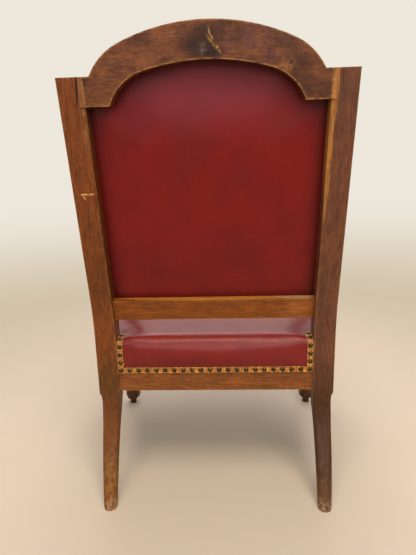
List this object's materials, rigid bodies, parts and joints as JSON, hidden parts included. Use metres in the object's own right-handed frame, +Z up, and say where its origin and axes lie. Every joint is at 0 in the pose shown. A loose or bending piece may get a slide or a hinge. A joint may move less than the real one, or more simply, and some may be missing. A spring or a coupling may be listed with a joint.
{
  "type": "armchair",
  "caption": "High-backed open armchair in carved wood, with an arched crest, raked rear legs, scrolled arms, and a leather seat and back edged with braid and brass nails.",
  "frame": {"origin": "on the floor, under the middle of the chair's outline", "axes": "+Z up, -Y the way the sitter faces, +X the sitter's left"},
  "size_m": [0.663, 0.6099, 1.0584],
  "materials": {
    "frame_wood": "waxed hardwood, worn to a golden brown at the edges",
    "block_wood": "sawn and unfinished",
    "screw_steel": "dull steel",
    "spring_steel": "drawn spring wire",
    "webbing": "woven jute",
    "hessian": "coarse woven jute",
    "stuffing": "teased horsehair",
    "seat_leather": "oxblood hide with a soft polish",
    "back_leather": "oxblood hide with a soft polish",
    "gimp_braid": "woven ochre braid",
    "nail_brass": "antiqued domed brass"
  },
  "bodies": {
    "root": {"back_post_left": "frame_wood", "back_post_right": "frame_wood", "crest_rail": "frame_wood", "lower_back_rail": "frame_wood", "rear_seat_rail": "frame_wood", "front_seat_rail": "frame_wood", "side_rail_left": "frame_wood", "side_rail_right": "frame_wood", "front_leg_left": "frame_wood", "front_leg_right": "frame_wood", "arm_left": "frame_wood", "arm_right": "frame_wood", "corner_block_rear_left": "block_wood", "corner_block_rear_right": "block_wood", "corner_block_front_left": "block_wood", "corner_block_front_right": "block_wood", "corner_block_screws": "screw_steel", "seat_springs": "spring_steel", "seat_webbing_lengthwise": "webbing", "seat_webbing_crosswise": "webbing", "back_webbing_vertical": "webbing", "back_webbing_horizontal": "webbing", "seat_hessian": "hessian", "back_hessian": "hessian", "seat_stuffing": "stuffing", "back_stuffing": "stuffing", "seat_leather": "seat_leather", "back_outer_leather": "back_leather", "back_inner_leather": "back_leather", "back_gimp": "gimp_braid", "back_nails": "nail_brass", "seat_gimp_rear": "gimp_braid", "seat_nails_rear": "nail_brass", "seat_gimp_front": "gimp_braid", "seat_nails_front": "nail_brass", "seat_gimp_left": "gimp_braid", "seat_nails_left": "nail_brass", "seat_gimp_right": "gimp_braid", "seat_nails_right": "nail_brass"}
  },
  "joints": []
}
